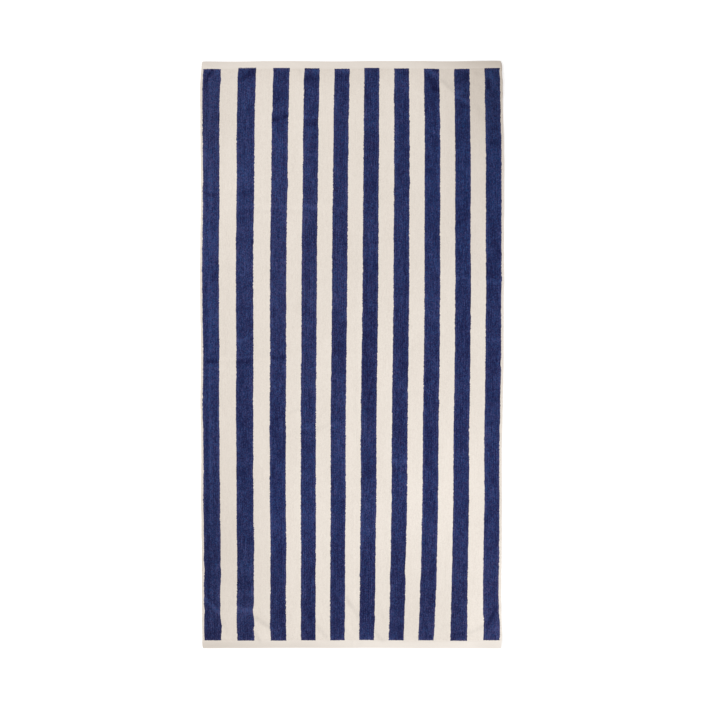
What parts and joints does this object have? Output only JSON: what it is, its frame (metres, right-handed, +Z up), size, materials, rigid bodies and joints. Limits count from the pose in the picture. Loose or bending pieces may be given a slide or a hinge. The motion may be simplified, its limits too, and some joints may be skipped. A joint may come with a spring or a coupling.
{
  "type": "beach towel",
  "caption": "Rectangular velour terry beach towel with broad lengthwise stripes and flat woven hems, spread out face up on a flat surface.",
  "frame": {"origin": "on the surface that the towel lies on, under the middle of its outline", "axes": "+X across the towel, +Y along its length to the top end, +Z up off the pile"},
  "size_m": [0.914, 1.7623, 0.01],
  "materials": {
    "cream_cotton": "sheared cotton velour pile, undyed, matt, with flat woven hems",
    "navy_cotton": "sheared cotton velour pile, dyed navy, mottled where the pile leans",
    "sewing_thread": "spun sewing thread, matt"
  },
  "bodies": {
    "root": {"towel": "cream_cotton"}
  },
  "joints": []
}
